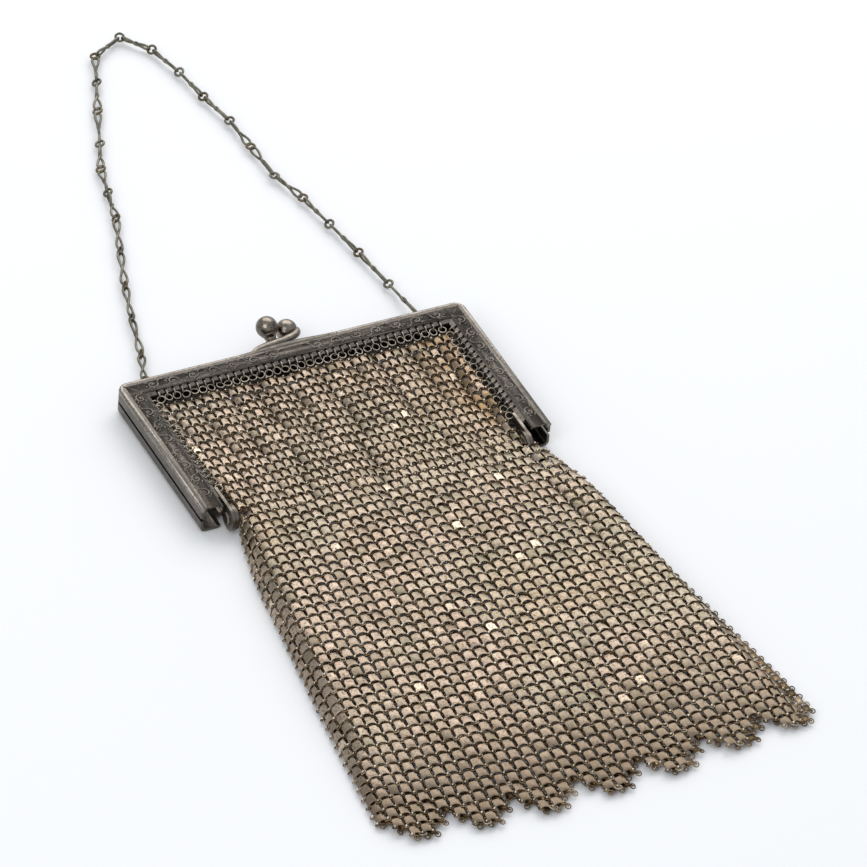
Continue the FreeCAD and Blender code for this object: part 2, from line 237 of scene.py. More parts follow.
def ring_metal():
    """The wire of the mesh's rings: darker and browner than the plates."""
    m = Nodes("mesh_rings", Metallic=1.0)
    island = m.add("NewGeometry").outputs["Random Per Island"]
    wire = m.ramp(island, [
        (0.0, (0.10, 0.066, 0.034)),
        (0.5, (0.18, 0.122, 0.066)),
        (0.85, (0.28, 0.20, 0.12)),
        (1.0, (0.46, 0.37, 0.26))])
    m.link(wire, "Base Color")
    m.link(m.spread(m.noise(900.0, 3.0), 0.3, 0.7, 0.30, 0.5), "Roughness")
    m.bump(m.noise(3000.0, 3.0), 0.15, 0.0002)
    return m.material


def antique_metal(name, dark, light, grain, roughness=(0.30, 0.50)):
    """Tarnished plating, rubbed brighter in patches, with fine scratches and pits."""
    m = Nodes(name, Metallic=1.0)
    rubbed = m.spread(m.noise(grain, 6.0, 0.65), 0.36, 0.66)
    colour = m.mix(rubbed, dark, light)
    pits = m.spread(m.noise(grain * 14, 4.0, 0.6), 0.34, 0.46)
    colour = m.mix(pits, tuple(c * 0.5 for c in dark), colour)
    m.link(colour, "Base Color")
    m.link(m.spread(m.noise(grain * 5, 5.0), 0.3, 0.7, *roughness), "Roughness")
    m.bump(m.noise(grain * 18, 5.0), 0.18, 0.0002)
    return m.material


def shell_metal():
    """The pressed frame: dark on its flat faces and upright walls, with a painted highlight where its
    lip curves over.
    """
    m = Nodes("frame_metal", Metallic=1.0)
    facing = m.add("SeparateXYZ", {"Vector": m.add("TexCoord").outputs["Normal"]}).outputs["Z"]
    steep = m.maths("ABSOLUTE", facing)
    # Painted highlight: faces that slope between flat and upright, as the curved lip does, take a
    # lighter colour.
    lip_highlight_share = m.maths("MULTIPLY", m.spread(steep, 0.98, 0.72), m.spread(steep, 0.05, 0.25))
    cloud = m.spread(m.noise(90.0, 6.0, 0.65), 0.34, 0.68)
    flat = m.mix(cloud, (0.105, 0.092, 0.080), (0.19, 0.17, 0.15))
    lip_highlight = m.mix(cloud, (0.15, 0.135, 0.118), (0.25, 0.228, 0.20))
    colour = m.mix(lip_highlight_share, flat, lip_highlight)
    pits = m.spread(m.noise(1700.0, 4.0, 0.6), 0.34, 0.46)
    colour = m.mix(pits, (0.06, 0.05, 0.042), colour)
    m.link(colour, "Base Color")
    m.link(m.spread(m.noise(500.0, 5.0), 0.3, 0.7, 0.30, 0.46), "Roughness")
    m.bump(m.noise(1900.0, 5.0), 0.18, 0.0002)
    return m.material


def paint_nodes(material, *names):
    """Give CAD nodes that are shown as they are a material."""
    for name in names:
        mesh = bpy.data.objects[name].data
        mesh.materials.clear()
        mesh.materials.append(material)


# ------------------------------------------------------------------ mesh helpers

LOWEST = 0.00002            # metres
Z_AXIS = (0.0, 0.0, 1.0)


def add_piece(name, points, faces, materials, marks):
    """A smooth mesh object from natural millimetre points; a face's mark picks its material."""
    mesh = bpy.data.meshes.new(name)
    mesh.from_pydata(row_points(points).tolist(), [], faces)
    for material in materials:
        mesh.materials.append(material)
    mesh.polygons.foreach_set("material_index", np.asarray(marks, np.int32))
    mesh.polygons.foreach_set("use_smooth", np.full(len(mesh.polygons), True))
    mesh.update()
    piece = bpy.data.objects.new(name, mesh)
    bpy.context.scene.collection.objects.link(piece)
    return piece


class Parts:
    """Collects many small copies of templates into one mesh."""

    def __init__(self):
        self.points = []
        self.faces = []
        self.marks = []
        self.count = 0

    def add(self, points, faces, mark=0):
        points = np.asarray(points, float)
        offset = self.count
        self.points.append(points)
        self.faces += [[corner + offset for corner in face] for face in faces]
        self.marks += [mark] * len(faces)
        self.count += len(points)

    def stamp(self, template, middles, x_axes, y_axes, z_axes, mark=0):
        """One copy of the template at each middle, turned to its axes."""
        points, faces, *own_marks = template
        middles = np.asarray(middles, float)
        placed = (middles[:, None, :]
                  + points[None, :, 0, None] * np.asarray(x_axes)[:, None, :]
                  + points[None, :, 1, None] * np.asarray(y_axes)[:, None, :]
                  + points[None, :, 2, None] * np.asarray(z_axes)[:, None, :])
        size = len(points)
        for index in range(len(middles)):
            offset = self.count + index * size
            self.faces += [[corner + offset for corner in face] for face in faces]
        self.marks += (own_marks[0] if own_marks else [mark] * len(faces)) * len(middles)
        self.points.append(placed.reshape(-1, 3))
        self.count += size * len(middles)

    def piece(self, name, materials):
        return add_piece(name, np.concatenate(self.points), self.faces, materials, self.marks)


def keep_above_floor(piece):
    """Press flat whatever would dip below the surface the bag lies on."""
    vertices = piece.data.vertices
    places = np.empty(len(vertices) * 3)
    vertices.foreach_get("co", places)
    places[2::3] = np.maximum(places[2::3], LOWEST)
    vertices.foreach_set("co", places)


def torus(ring_r, wire_r, around, about):
    """Ring template in its own XY plane."""
    points = []
    for a in np.arange(around) * math.tau / around:
        for b in np.arange(about) * math.tau / about:
            out = ring_r + wire_r * math.cos(b)
            points.append((out * math.cos(a), out * math.sin(a), wire_r * math.sin(b)))
    faces = []
    for i in range(around):
        for k in range(about):
            j, l = (i + 1) % around, (k + 1) % about
            faces.append([i * about + k, j * about + k, j * about + l, i * about + l])
    return np.array(points), faces


def sweep(path, radii, about, flat=1.0, flat_axis=None):
    """Closed tube along a path with a radius at each point; flat < 1 squashes it."""
    path = np.asarray(path, float)
    radii = np.broadcast_to(np.asarray(radii, float), (len(path),))
    tangents = np.gradient(path, axis=0)
    tangents /= np.linalg.norm(tangents, axis=1)[:, None]
    guide = np.array(flat_axis if flat_axis is not None else (0.123, 0.321, 0.94), float)
    points = []
    for middle, tangent, radius in zip(path, tangents, radii):
        side = np.cross(tangent, guide)
        side /= np.linalg.norm(side)
        up = np.cross(side, tangent)
        if flat_axis is None:
            guide = up
        for b in np.arange(about) * math.tau / about:
            points.append(middle + radius * (math.cos(b) * side + flat * math.sin(b) * up))
    faces = []
    for i in range(len(path) - 1):
        for k in range(about):
            l = (k + 1) % about
            faces.append([i * about + k, i * about + l, (i + 1) * about + l, (i + 1) * about + k])
    last = (len(path) - 1) * about
    faces.append(list(range(about))[::-1])
    faces.append(list(range(last, last + about)))
    return np.array(points), faces


def lathe(profile, base, axis, about):
    """Solid of revolution: (along, radius) pairs from a base point along an axis."""
    axis = np.asarray(axis, float) / np.linalg.norm(axis)
    side = np.cross(axis, (0.2, 0.3, 0.9))
    side /= np.linalg.norm(side)
    other = np.cross(axis, side)
    points = []
    for along, radius in profile:
        for b in np.arange(about) * math.tau / about:
            points.append(base + axis * along + radius * (math.cos(b) * side + math.sin(b) * other))
    faces = []
    for i in range(len(profile) - 1):
        for k in range(about):
            l = (k + 1) % about
            faces.append([i * about + k, (i + 1) * about + k, (i + 1) * about + l, i * about + l])
    last = (len(profile) - 1) * about
    faces.append(list(range(about)))
    faces.append(list(range(last, last + about))[::-1])
    return np.array(points), faces


# ------------------------------------------------------------------ chain handle

CHAIN_ROUTE = [   # the CAD source's route, each joint moved to where it lies, metres
    (-0.0405, 0.0034), (-0.0356, 0.0163), (-0.0316, 0.0310), (-0.0276, 0.0442),
    (-0.0226, 0.0583), (-0.0178, 0.0716), (-0.0152, 0.0826), (-0.0128, 0.0926),
    (-0.0084, 0.1029), (-0.0030, 0.1163), (0.0020, 0.1280), (0.0065, 0.1389),
    (0.0164, 0.1443), (0.0224, 0.1362), (0.0253, 0.1244), (0.0269, 0.1121),
    (0.0292, 0.0999), (0.0298, 0.0875), (0.0305, 0.0735), (0.0336, 0.0620),
    (0.0355, 0.0491), (0.0376, 0.0351), (0.0394, 0.0200), (0.0405, 0.0034)]
# Runs of links that lie alike: how many, roll from lying flat, turn between the two loops.
LINK_RUNS = [(5, 8, 30), (6, 45, 90), (5, 106, 20), (3, 70, 85), (4, 108, 20)]
CHAIN_LINKS = len(CHAIN_ROUTE) - 1
CHAIN_Z = 0.0016            # metres
LUG_Z = 0.0029              # metres
CHAIN_WIRE = 0.36           # radius
LOW_LINK_WIDTH = (1.7, 2.0)
HIGH_LINK_WIDTH = (1.55, 1.75)      # of the links that stand up, rolled by HIGH_ROLL or more
HIGH_ROLL = 60
RING_R = 1.18
RING_TURN = 75.0            # the small rings, against the links beside them
END_RING_R = 1.72
END_RING_TILT = 55.0


def chain_line():
    """The route's smooth NURBS line, as closely spaced points in natural millimetres."""
    curve = bpy.data.curves.new("chain_line", "CURVE")
    curve.dimensions = "3D"
    curve.resolution_u = 24
    spline = curve.splines.new("NURBS")
    spline.points.add(2 * len(CHAIN_ROUTE) - 1)
    last = len(CHAIN_ROUTE) - 1
    for index, (x, y) in enumerate(CHAIN_ROUTE):
        z = LUG_Z if index in (0, last) else CHAIN_Z
        spline.points[2 * index].co = (x, y, z, 1.0)         # twice, so the line bends there
        spline.points[2 * index + 1].co = (x, y, z, 1.0)
    spline.order_u = 3
    spline.use_endpoint_u = True
    holder = bpy.data.objects.new("chain_line", curve)
    mesh = bpy.data.meshes.new_from_object(holder)
    line = np.array([v.co[:] for v in mesh.vertices]) * 1000.0
    bpy.data.objects.remove(holder)
    bpy.data.meshes.remove(mesh)
    return line


def link_wire(length, width, twist):
    """Centreline of a figure-of-eight link along X, one loop turned against the other."""
    wire = []
    for t in np.linspace(0, math.tau, 64, endpoint=False):
        x = math.cos(t)
        side = math.sin(2 * t) * width / 2 * (0.86 + 0.14 * abs(x))
        crossing = 1.0 if math.sin(t) < 0 else -1.0
        lift = crossing * CHAIN_WIRE * 0.95 * math.exp(-(x / 0.16) ** 2)
        turn = twist * math.tanh(2.6 * x) / 2
        wire.append((x * length / 2,
                     side * math.cos(turn) - lift * math.sin(turn),
                     side * math.sin(turn) + lift * math.cos(turn)))
    return np.array(wire)


def closed_tube(path, radius, about):
    """Tube along a closed path."""
    path = np.asarray(path, float)
    tangents = np.roll(path, -1, axis=0) - np.roll(path, 1, axis=0)
    tangents /= np.linalg.norm(tangents, axis=1)[:, None]
    points = []
    guide = np.array((0.05, 0.1, 1.0))
    for middle, tangent in zip(path, tangents):
        side = np.cross(tangent, guide)
        side /= np.linalg.norm(side)
        up = np.cross(side, tangent)
        for b in np.arange(about) * math.tau / about:
            points.append(middle + radius * (math.cos(b) * side + math.sin(b) * up))
    faces = []
    n = len(path)
    for i in range(n):
        for k in range(about):
            j, l = (i + 1) % n, (k + 1) % about
            faces.append([i * about + k, i * about + l, j * about + l, j * about + k])
    return np.array(points), faces


def basis(along, roll):
    """Axes with X along a direction, rolled about it from lying flat."""
    x_axis = np.asarray(along, float) / np.linalg.norm(along)
    flat = np.cross((0, 0, 1.0), x_axis)
    flat /= np.linalg.norm(flat)
    up = np.cross(x_axis, flat)
    y_axis = math.cos(roll) * flat + math.sin(roll) * up
    return x_axis, y_axis, np.cross(x_axis, y_axis)


def add_links(parts, joints, rolls):
    """A figure-of-eight link between each two joints."""
    for index, (roll, twist) in enumerate(rolls):
        a, b = joints[index], joints[index + 1]
        turn_over = 1 if index % 2 else -1
        at_lug = index in (0, CHAIN_LINKS - 1)
        reach = np.linalg.norm(b - a) - 2 * (RING_R - 1.3 * CHAIN_WIRE) - (0.5 if at_lug else 0.0)
        width = rng.uniform(*(LOW_LINK_WIDTH if roll < HIGH_ROLL else HIGH_LINK_WIDTH))
        wire = link_wire(reach, width, math.radians(twist + rng.uniform(-8, 8)) * turn_over)
        tube, faces = closed_tube(wire, CHAIN_WIRE, 8)
        turn = math.radians(roll + rng.uniform(-10, 10))
        parts.add((a + b) / 2 + tube @ np.array(basis(b - a, turn)), faces)


def add_link_rings(parts, joints, rolls):
    """A small ring at each joint and a larger one in each lug."""
    small = torus(RING_R, CHAIN_WIRE, 20, 8)
    for index in range(1, CHAIN_LINKS):
        along = joints[index + 1] - joints[index - 1]
        beside = (rolls[index - 1][0] + rolls[index][0]) / 2
        roll = math.radians(beside - RING_TURN + rng.uniform(-8, 8))
        x_axis, y_axis, z_axis = basis(along, roll)
        parts.stamp(small, [joints[index]], [x_axis], [y_axis], [z_axis], mark=index % 2)
    large = torus(END_RING_R, CHAIN_WIRE, 24, 8)
    for index, tilt in ((0, -END_RING_TILT), (CHAIN_LINKS, END_RING_TILT)):
        x_axis, y_axis, z_axis = basis((0, 1.0, 0), math.radians(tilt))
        parts.stamp(large, [joints[index]], [x_axis], [y_axis], [z_axis], mark=1)


def add_chain(wire_material, ring_material):
    """The chain handle as one piece along its route."""
    line = chain_line()
    joints = [np.array((1000 * x, 1000 * y, 1000 * CHAIN_Z)) for x, y in CHAIN_ROUTE]
    joints[0][2] = joints[-1][2] = 1000 * LUG_Z
    rolls = [(roll, twist) for count, roll, twist in LINK_RUNS for _ in range(count)]
    parts = Parts()
    add_links(parts, joints, rolls)
    add_link_rings(parts, joints, rolls)
    piece = parts.piece("chain_handle", [wire_material, ring_material])
    keep_above_floor(piece)
    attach(piece, "chain")
    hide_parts("chain_long_links", "chain_rings", "chain_end_ring_left",
                "chain_end_ring_right")


# ------------------------------------------------------------------ frame relief and clasp

FRAME_WIDTH = 102.0
FRAME_TOP = 8.0
BAND_MIDDLE = 3.70          # from the frame's outer edge to the middle of its flat band
CORNER = FRAME_WIDTH / 2 - BAND_MIDDLE
ARM_END = 51.6
SCROLL_PITCH = 5.9
LIP_BEAD_R = 0.85
LIP_BEAD_Z = 7.22
LIP_BEAD_INSET = 0.8
LIP_BEAD_CORNER = 3.2
BORDERS = ((2.02, 0.12), (1.74, 0.06), (-2.05, 0.12), (-1.77, 0.06))    # out, wire radius
OUTER_BORDER_START = 5.0    # the outer borders and the scrolls leave room for the clasp
FIRST_SCROLL = 6.4
CURL_TURNS = 1.15
CURL_RIM = 1.62
CURL_EYE = 0.44
SINK = 0.12                 # the curls and leaves sit this far off the middle of the band
GROUND_HALF = 1.7
SWELL_ENDS = (-15.0, 13.0)  # the lip swells under the clasp between these
# Leaves round each curl: angle where it starts, reach, how far it bends.
LEAVES = ((100, 0.93, 0.5), (55, 1.0, 0.1), (10, 0.93, -0.4), (-60, 0.7, -0.5))
LEAF_RADII = (0.18, 0.34, 0.38, 0.31, 0.19, 0.05)


def band_point(along, out, side, height=0.0):
    """A point on the frame's band: along from the clasp round the corner, out from its middle."""
    if along <= CORNER:
        x, y = along, out - BAND_MIDDLE
        x = min(x, CORNER + out)
    else:
        x, y = CORNER + out, CORNER - along - BAND_MIDDLE
        y = min(y, out - BAND_MIDDLE)
    return side * x, y, FRAME_TOP + height


def spiral(middle, side, flip):
    """A curl on the band, wound in from its rim to the bulb in its eye."""
    path = []
    for u in np.linspace(0, 1, 30):
        angle = math.radians(205 - 360 * CURL_TURNS * u)
        radius = CURL_RIM * (CURL_EYE / CURL_RIM) ** u
        path.append(band_point(middle + radius * math.cos(angle) * 1.12,
                               flip * (radius * math.sin(angle) * 0.95 - SINK), side, 0.02))
    return path


def scroll_unit(parts, middle, side, flip):
    """One scroll of the foliage: a curl with its bulb, a stem to the next one and leaves."""
    curl = spiral(middle, side, flip)
    taper = np.interp(np.linspace(0, 1, len(curl)), (0, 0.25, 0.8, 1), (0.18, 0.36, 0.25, 0.20))
    parts.add(*sweep(curl, taper, 8, 0.8, Z_AXIS))
    eye = band_point(middle, flip * -SINK, side)
    bulb = [(-0.1, 0.36), (0.08, 0.43), (0.2, 0.33), (0.27, 0.1)]
    parts.add(*lathe(bulb, np.array(eye), Z_AXIS, 10))
    stem = [band_point(middle - 1.6 - 1.9 * u,
                       flip * (-0.7 - 0.93 * math.sin(u * 2.4)), side, 0.02)
            for u in np.linspace(0, 1, 8)]
    parts.add(*sweep(stem, np.linspace(0.18, 0.26, 8), 6, 0.8, Z_AXIS))
    for start, reach, bend in LEAVES:
        leaf = []
        for u in np.linspace(0, 1, 6):
            angle = math.radians(start - bend * 60 * u)
            radius = 1.40 + reach * u
            out = min(1.75, max(-1.75, radius * math.sin(angle) * 0.85 - SINK))
            leaf.append(band_point(middle + radius * math.cos(angle) * 1.1, flip * out, side))
        parts.add(*sweep(leaf, LEAF_RADII, 6, 0.75, Z_AXIS))


def slab(low, high):
    """A strip of the band's darker ground, a hair above the shell: patina with painted shade between
    the scrolls.
    """
    (x0, y0), (x1, y1) = low, high
    top, foot = FRAME_TOP + 0.015, FRAME_TOP - 0.05
    points = [(x, y, z) for z in (foot, top) for x, y in ((x0, y0), (x1, y0), (x1, y1), (x0, y1))]
    faces = [[3, 2, 1, 0], [4, 5, 6, 7]]
    faces += [[k, (k + 1) % 4, (k + 1) % 4 + 4, k + 4] for k in range(4)]
    return np.array(points), faces


def add_borders(parts, side):
    """The fine lines along both edges of the band and across its mitred corner."""
    for out, radius in BORDERS:
        start = OUTER_BORDER_START if out > 0 else 0.0
        bar = [band_point(s, out, side) for s in (start, CORNER + out)]
        arm = [band_point(s, out, side) for s in (CORNER - out, CORNER + ARM_END)]
        parts.add(*sweep(bar, radius, 6, 0.8, Z_AXIS))
        parts.add(*sweep(arm, radius, 6, 0.8, Z_AXIS))
    mitre = [(side * (CORNER + out), -BAND_MIDDLE + out, FRAME_TOP) for out in (-2.0, 2.0)]
    parts.add(*sweep(mitre, 0.13, 6, 0.8, Z_AXIS))


def add_ground(parts):
    """The dark ground behind the scrolls, on the bar and on both arms: patina and painted shade."""
    outer, inner = -BAND_MIDDLE + GROUND_HALF, -BAND_MIDDLE - GROUND_HALF
    parts.add(*slab((-CORNER - GROUND_HALF, inner), (CORNER + GROUND_HALF, outer)), mark=1)
    for middle in (-CORNER, CORNER):
        foot = -BAND_MIDDLE - ARM_END
        parts.add(*slab((middle - GROUND_HALF, foot), (middle + GROUND_HALF, inner)), mark=1)


def add_frame_relief(relief_material, ground_material):
    """The pressed pattern on the front band: dark ground of patina and painted shade, fine borders,
    scrolls, mitres.
    """
    parts = Parts()
    for side in (-1, 1):
        add_borders(parts, side)
        places = list(np.arange(FIRST_SCROLL, CORNER - 2.4, SCROLL_PITCH))
        places += list(np.arange(CORNER + 4.2, CORNER + ARM_END - 1.6, SCROLL_PITCH))
        for index, middle in enumerate(places):
            scroll_unit(parts, middle, side, 1 if index % 2 else -1)
    add_ground(parts)
    start, end = SWELL_ENDS
    swell_x = np.linspace(start, end, 29)
    swell = np.sin((swell_x - start) / (end - start) * math.pi) ** 1.5
    path = np.stack([swell_x, -LIP_BEAD_INSET + 0.3 * swell, LIP_BEAD_Z - 0.35 * swell], axis=1)
    parts.add(*sweep(path, LIP_BEAD_R + 0.6 * swell, 16, 1.0, Z_AXIS))
    piece = parts.piece("frame_relief", [relief_material, ground_material])
    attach(piece, "front_half")


def add_lip_bead(material):
    """The rolled outer edge of the front half, as a rounded bead down both arms and the bar, in a
    metal painted lighter as a highlight.
    """
    half, inset, corner, z = FRAME_WIDTH / 2, LIP_BEAD_INSET, LIP_BEAD_CORNER, LIP_BEAD_Z
    path = [(-half + inset, -ARM_END - BAND_MIDDLE, z)]
    for middle, start in (((-half + corner, -corner), 180), ((half - corner, -corner), 90)):
        for angle in np.linspace(start, start - 90, 9):
            turn = math.radians(angle)
            path.append((middle[0] + (corner - inset) * math.cos(turn),
                         middle[1] + (corner - inset) * math.sin(turn), z))
    path.append((half - inset, -ARM_END - BAND_MIDDLE, z))
    parts = Parts()
    parts.add(*sweep(path, LIP_BEAD_R, 18, 1.0, Z_AXIS))
    piece = parts.piece("front_lip_bead", [material])
    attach(piece, "front_half")


BALL_R = 3.0
BACK_BALL = np.array((-2.7, 8.3, 7.5))
FRONT_BALL = np.array((3.2, 8.2, 4.9))
BACK_POST = [(-0.6, -0.5, 2.6), (-1.2, 2.4, 3.2), (-2.0, 4.2, 4.3), (-2.6, 5.9, 5.6),
             (-2.7, 7.6, 7.0)]
BACK_POST_R = (0.9, 1.0, 1.3, 1.55, 1.6)
FRONT_POST = [(-12.0, -0.9, 7.1), (-9.0, 0.4, 7.4), (-5.6, 1.5, 7.0), (-2.4, 2.3, 6.6),
              (0.2, 2.9, 6.35), (3.0, 3.8, 6.2), (4.6, 4.9, 6.0), (5.3, 6.2, 5.8), (5.5, 7.6, 5.4)]
FRONT_POST_R = (0.5, 1.0, 1.1, 1.1, 1.1, 1.1, 1.1, 0.95, 0.5)
FRONT_SEAM_LEAN = (0.25, 0.5, 0.83)     # the axis of each ball's two halves
BACK_SEAM_LEAN = (0.2, 0.65, 0.74)
COLLAR = [(1.8, 1.5), (2.0, 2.05), (2.2, 2.2), (2.4, 2.05), (2.55, 1.75), (3.1, 1.6)]


def smooth_path(knots, steps):
    """Catmull-Rom line through the knots."""
    knots = np.asarray(knots, float)
    padded = np.vstack([2 * knots[0] - knots[1], knots, 2 * knots[-1] - knots[-2]])
    line = []
    for where in np.linspace(0, len(knots) - 1.000001, steps):
        k, u = int(where), where - int(where)
        a, b, c, d = padded[k:k + 4]
        line.append(0.5 * (2 * b + (c - a) * u + (2 * a - 5 * b + 4 * c - d) * u ** 2
                           + (3 * b - a - 3 * c + d) * u ** 3))
    return np.array(line)


def ball_profile(radius):
    """A bead made of two halves: a round with a fine seam about its middle."""
    profile = []
    for angle in np.linspace(-88, 88, 41):
        dent = 0.05 if abs(angle) < 3 else 0.0
        turn = math.radians(angle)
        profile.append((radius * math.sin(turn), radius * math.cos(turn) - dent))
    return profile


def add_clasp(ball_material, post_material):
    """The kiss-lock: a bent arm and a ball on each half, and a collar under the back ball."""
    for name, ball, lean, knots, radii in (
            ("front", FRONT_BALL, FRONT_SEAM_LEAN, FRONT_POST, FRONT_POST_R),
            ("back", BACK_BALL, BACK_SEAM_LEAN, BACK_POST, BACK_POST_R)):
        line = smooth_path(knots, 28)
        radius = np.interp(np.linspace(0, len(knots) - 1, len(line)), range(len(knots)), radii)
        parts = Parts()
        parts.add(*sweep(line, radius, 14), mark=1)
        post = parts.piece(name + "_clasp_arm", [ball_material, post_material])
        parts = Parts()
        parts.add(*lathe(ball_profile(BALL_R), ball, lean, 36))
        if name == "back":
            neck = BACK_BALL - np.array(BACK_POST[3])
            parts.add(*lathe(COLLAR, ball, -neck, 28), mark=1)
        bead = parts.piece(name + "_clasp_bead", [ball_material, post_material])
        for piece, node in ((post, name + "_clasp_post"), (bead, name + "_clasp_ball")):
            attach(piece, name + "_half")
            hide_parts(node)


# ------------------------------------------------------------------ mesh body

COLUMNS = 35
ROW_PITCH = 3.66
FULL_ROWS = 47
HEM_ROWS = 2                # further rows, which have plates only in the scallops
SCALLOP = 5                 # columns in each scallop
GRID_ROWS = FULL_ROWS + HEM_ROWS + 1
MESH_START = -9.4
SIDE_FOLD = 3.2             # how far in the front face starts to turn down to each side seam
SEAM_Z = 0.9
BACK_Z = 0.95
MESH_RING = (0.72, 0.17)    # radius of the ring and of its wire
LARGE_RING = (1.04, 0.18)
LINK_INSET = 8.45           # larger rings between the sewing wire and the first plates
LINK_Z = 6.5
LINKED_ROWS = 11
RING_LEAN = 0.42            # rings stand up a little towards the hem
FULL_PLATE = 3.25           # the column spacing that suits a plate of full width
PLATE_WIDTHS = (0.55, 1.08)         # the least and the most of the full width
# The three pieces of each face: name, first row and the row after the last, and the CAD nodes
# that the front one and the back one stand for.
MESH_BANDS = [
    ("top", 0, 17, ("front_mesh_upper",), ("back_mesh",)),
    ("middle", 17, 33, ("front_mesh_lower", "side_mesh_left", "side_mesh_right"), ()),
    ("hem", 33, FULL_ROWS + HEM_ROWS, ("front_hem_points",), ("back_hem_points",))]
# Height of the front face and the two edges, going down the bag: Y, left, right, height.
STATIONS = np.array([
    (-8.0, -42.6, 42.6, 6.2), (-20.0, -42.4, 42.4, 6.6), (-40.0, -41.6, 41.6, 6.9),
    (-52.0, -40.6, 40.4, 6.9), (-58.0, -40.6, 42.0, 6.9), (-63.0, -42.4, 47.6, 7.0),
    (-80.0, -45.9, 52.0, 7.4), (-110.0, -48.6, 54.6, 7.4), (-140.0, -51.3, 57.3, 6.6),
    (-160.0, -53.0, 59.2, 5.2), (-176.0, -55.4, 61.6, 3.3), (-190.0, -57.6, 63.4, 1.9)])
# Pleats that run down from the top bar: X at the bar, X at the fade, depth, reach.
PLEATS = [(-38.5, -41.5, 1.6, 58.0), (-30.0, -33.5, 1.9, 52.0), (-21.5, -27.0, 1.9, 58.0),
          (-12.5, -20.5, 2.5, 70.0), (-3.5, -10.5, 2.0, 60.0), (6.5, -1.5, 2.5, 84.0),
          (14.5, 9.0, 1.8, 60.0), (22.5, 23.0, 2.5, 78.0), (30.5, 33.0, 1.9, 70.0),
          (37.0, 48.0, 2.4, 150.0)]


def station(y, column):
    """One column of the stations' table at some Y."""
    order = STATIONS[::-1]
    return np.interp(y, order[:, 0], order[:, column])


def pleat_height(x, y):
    """Each pleat sinks slowly towards its line and rises steeply again beyond it."""
    height = np.zeros_like(x)
    for top_x, end_x, depth, reach in PLEATS:
        travel = min(1.0, (-y - 8.0) / reach)
        if travel >= 1.0:
            continue
        fade = (1.0 - travel) ** 0.7 * min(1.0, (-y - 5.0) / 7.0)
        t = top_x + (end_x - top_x) * travel - x
        rise = 1.0 / (1.0 + np.exp(-t * 4.5))
        sink = np.exp(-np.maximum(t, 0.0) / 3.6)
        height -= depth * fade * rise * sink
    return height


def cross_section(y):
    """Dense (x, z) polyline from the left seam over the front face to the right seam."""
    left, right, top = (station(y, k) for k in (1, 2, 3))
    below_hinges = np.clip((-y - 58.0) / 6.0, 0.0, 1.0)
    fold = SIDE_FOLD * below_hinges
    face_x = np.linspace(left + fold, right - fold, 700)
    across = (face_x - left) / (right - left)
    crown = 0.5 * (1 - (2 * across - 1) ** 2) * min(1.0, top / 6.0)
    ripple = 0.22 * np.sin(face_x * 0.21 + y * 0.035) + 0.16 * np.sin(face_x * 0.43 - y * 0.06)
    face_z = top - 0.5 + crown + pleat_height(face_x, y) + ripple * min(1.0, top / 5.0)
    if below_hinges < 0.05:
        return face_x, face_z
    t = np.linspace(0, 1, 30)
    rise_left = SEAM_Z + (face_z[0] - SEAM_Z) * t ** 1.15
    rise_right = SEAM_Z + (face_z[-1] - SEAM_Z) * t ** 1.15
    edge_left = left + fold * t ** 2.2
    edge_right = right - fold * t ** 2.2
    x = np.concatenate([edge_left, face_x[1:-1], edge_right[::-1]])
    z = np.concatenate([rise_left, face_z[1:-1], rise_right[::-1]])
    return x, z


# Where the hem's columns end up (column, X), and how far its points rise along it (X, rise).
HEM_KNOTS = np.array([(0, -58.6), (3, -48.9), (8, -31.7), (13, -13.1), (18, 6.0), (23, 24.2),
                      (28, 43.4), (33, 60.2), (35, 65.0)])
HEM_TIPS = np.array([(-60.0, 3.6), (-48.9, 3.1), (-31.7, 1.0), (-13.1, 0.1), (6.0, 1.1),
                     (24.2, 2.4), (43.4, 5.6), (60.2, 7.6), (66.0, 8.0)])


def hem_columns():
    """X of each column of corners along the hem."""
    return np.interp(np.arange(COLUMNS + 1), HEM_KNOTS[:, 0], HEM_KNOTS[:, 1])


def towards_hem(x, hem_x, j):
    """Draw a row's corners towards the hem's spacing, more the lower the row."""
    weight = (j / GRID_ROWS) ** 3
    return x + weight * (hem_x - x)


def hem_rise(x, j):
    """How far a row is raised so that its lower end follows the hem's slant."""
    return np.interp(x, HEM_TIPS[:, 0], HEM_TIPS[:, 1]) * (j / GRID_ROWS) ** 1.5


def evenly_spaced(x, z):
    """Corners along a polyline, with the straight distance from each to the next the same."""
    steps = np.hypot(np.diff(x), np.diff(z))
    travelled = np.concatenate([[0.0], np.cumsum(steps)])
    shares = np.ones(COLUMNS)
    for _ in range(10):
        want = travelled[-1] * np.concatenate([[0.0], np.cumsum(shares)]) / shares.sum()
        corner_x = np.interp(want, travelled, x)
        corner_z = np.interp(want, travelled, z)
        chords = np.hypot(np.diff(corner_x), np.diff(corner_z))
        shares *= (chords.mean() / chords) ** 0.7
    return corner_x, corner_z


def front_grid():
    """Corner points of the front's lattice: one row of rings between rows of plates."""
    grid = np.zeros((GRID_ROWS, COLUMNS + 1, 3))
    for j in range(GRID_ROWS):
        y = MESH_START - ROW_PITCH * j
        x, z = evenly_spaced(*cross_section(y))
        x = towards_hem(x, hem_columns(), j)
        grid[j] = np.stack([x, y + hem_rise(x, j), z], axis=1)
    jitter = rng.normal(0.0, 0.07, grid.shape)
    jitter[..., 2] *= 1.3
    return grid + jitter


